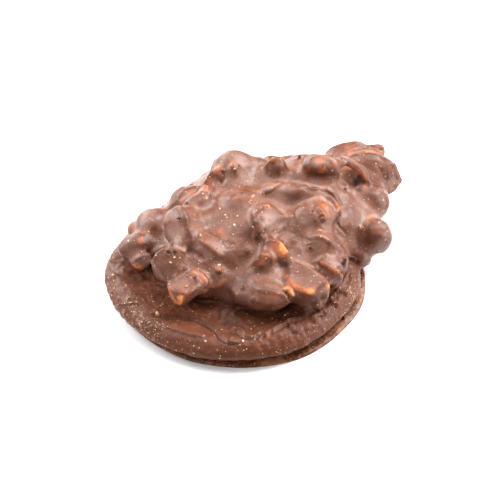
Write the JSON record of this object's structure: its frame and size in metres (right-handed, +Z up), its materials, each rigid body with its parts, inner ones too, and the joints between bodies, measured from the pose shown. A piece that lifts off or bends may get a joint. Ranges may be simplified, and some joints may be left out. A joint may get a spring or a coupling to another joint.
{
  "type": "pecan chocolate cluster",
  "caption": "Chopped pecans and caramel heaped on a round flat patty, under one lumpy coat of milk chocolate.",
  "frame": {"origin": "middle of the cluster's outline seen from above, on its flat base", "axes": "+X along the cluster's length, towards the pecan that hangs past the patty; +Z up, out of the flat base; +Y across it, towards the side heaped with nuts"},
  "size_m": [0.0633, 0.0459, 0.0183],
  "materials": {
    "chocolate": "satin milk chocolate with pale nut dust, thin and orange-brown over the nut tips, scuffed along the patty's rim"
  },
  "bodies": {
    "root": {"chocolate_cluster": "chocolate"}
  },
  "joints": []
}
